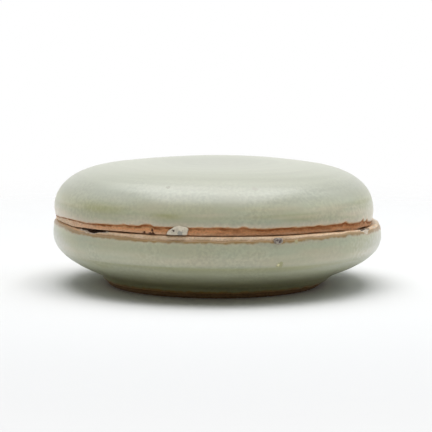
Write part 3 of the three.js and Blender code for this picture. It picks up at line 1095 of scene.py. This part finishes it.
# Soft panels round the object, with lengths in metres, angles in degrees, and how bright each looks.
# The wide ones stand side by side as one long soft box from the front over to the back.
WIDE = {"size": (0.9, 0.2), "tint": (1, 1, 1)}
SIDE = {"size": (0.9, 0.5), "tint": (0.9, 0.96, 1.0)}
LAMPS = {
    "over_front": {"angle": 270, "elevation": 70, "radiance": 2.8, **WIDE},
    "over": {"angle": 270, "elevation": 85, "radiance": 4.35, **WIDE},
    "over_back": {"angle": 90, "elevation": 80, "radiance": 4.5, **WIDE},
    "back": {"angle": 90, "elevation": 65, "radiance": 2.8, **WIDE},
    "back_low": {"angle": 90, "elevation": 50, "radiance": 0.8, **WIDE},
    "left": {"angle": 167, "elevation": 35, "radiance": 0.42, **SIDE},
    "left_high": {"angle": 154, "elevation": 60, "radiance": 0.55, **SIDE},
    "right": {"angle": 9, "elevation": 35, "radiance": 0.8, **SIDE},
    "right_high": {"angle": 4, "elevation": 60, "radiance": 0.6, **SIDE},
}
LAMP_TARGET = Vector((0, 0, 0.03))
LAMP_DISTANCE = 0.9
AMBIENT = 0.13
FLOOR_COLOUR = (0.85, 0.85, 0.85, 1)
FLOOR_RADIUS_M = 0.42
FLOOR_FADE_M = 0.13
FLOOR_ROUGHNESS = 0.9
FLOOR_SIDES = 96
# Within the foot ring the floor is clear, so that some light reaches the underside
UNDER_FOOT_M = 0.036
UNDER_FOOT_FADE = 0.8


def look_at(thing, target):
    direction = target - thing.location
    thing.rotation_mode = "QUATERNION"
    thing.rotation_quaternion = direction.to_track_quat("-Z", "Y")


def make_camera():
    data = bpy.data.cameras.new("camera")
    data.sensor_width = SENSOR
    data.lens = LENS
    data.clip_start = 0.01
    camera = link("camera", data)
    back = Vector((0, -math.cos(ELEVATION), math.sin(ELEVATION)))
    camera.location = ORBIT + back * DISTANCE
    look_at(camera, AIM)
    camera.rotation_quaternion = camera.rotation_quaternion @ Quaternion((0, 0, 1), ROLL)
    bpy.context.scene.camera = camera


def make_lights():
    for name, lamp in LAMPS.items():
        data = bpy.data.lights.new(name, "AREA")
        data.shape = "RECTANGLE"
        data.size, data.size_y = lamp["size"]
        data.energy = lamp["radiance"] * math.pi * data.size * data.size_y
        data.color = lamp["tint"]
        panel = link(name, data)
        turn = math.radians(lamp["angle"])
        rise = math.radians(lamp["elevation"])
        level = math.cos(rise)
        direction = Vector((level * math.cos(turn), level * math.sin(turn), math.sin(rise)))
        panel.location = LAMP_TARGET + direction * LAMP_DISTANCE
        panel.visible_camera = False
        look_at(panel, LAMP_TARGET)

    world = bpy.data.worlds.new("studio")
    bpy.context.scene.world = world
    world.use_nodes = True
    tree = world.node_tree
    strength = tree.nodes.new("ShaderNodeMapRange")
    tree.links.new(seen_rays(tree), strength.inputs["Value"])
    strength.inputs["To Min"].default_value = AMBIENT
    background = tree.nodes["Background"]
    background.inputs["Color"].default_value = (1, 1, 1, 1)
    tree.links.new(strength.outputs[0], background.inputs["Strength"])


def seen_rays(tree):
    """1 for a ray from the camera, or one that a gloss or glass sends on, and 0 for the light's own."""
    path = tree.nodes.new("ShaderNodeLightPath")
    total = path.outputs["Is Camera Ray"]
    for kind in ("Is Glossy Ray", "Is Transmission Ray"):
        either = tree.nodes.new("ShaderNodeMath")
        either.operation = "MAXIMUM"
        tree.links.new(total, either.inputs[0])
        tree.links.new(path.outputs[kind], either.inputs[1])
        total = either.outputs[0]
    return total


def make_floor():
    """A pale disc that keeps the shadow and fades into the white around it."""
    p = Paint("floor")
    p.join(p.shader.inputs["Base Color"], FLOOR_COLOUR)
    p.join(p.shader.inputs["Roughness"], FLOOR_ROUGHNESS)
    p.join(p.shader.inputs["Specular IOR Level"], 0.0)
    metres = p.new("TexCoord").outputs["Object"]
    from_middle = p.new("VectorMath", {0: metres}, operation="LENGTH").outputs["Value"]
    fade = p.ease(from_middle, FLOOR_FADE_M, FLOOR_RADIUS_M)
    camera_ray = p.new("LightPath").outputs["Is Camera Ray"]
    from_below = p.times(p.new("NewGeometry").outputs["Backfacing"], camera_ray)
    clear = p.new("BsdfTransparent").outputs[0]
    under_foot = p.ease(from_middle, UNDER_FOOT_FADE * UNDER_FOOT_M, UNDER_FOOT_M, 1.0, 0.0)
    share = p.math("MAXIMUM", p.math("MAXIMUM", fade, from_below), under_foot)
    both = p.new("MixShader", {0: share, 1: p.shader.outputs[0], 2: clear}).outputs[0]
    p.join(p.tree.nodes["Material Output"].inputs["Surface"], both)

    work = bmesh.new()
    bmesh.ops.create_circle(work, cap_ends=True, segments=FLOOR_SIDES, radius=FLOOR_RADIUS_M)
    mesh = bpy.data.meshes.new("floor")
    work.to_mesh(mesh)
    work.free()
    mesh.materials.append(p.material)
    link("floor", mesh)


make_camera()
make_lights()
make_floor()
make_box()
make_cover()
make_grit("cover_grit", "cover_kiln_grit", "cover", "pale_grit", PALE_GRIT)
make_grit("rim_grit", "rim_kiln_grit", "box", "grey_grit", GREY_GRIT)

bpy.context.scene.view_settings.view_transform = "Standard"
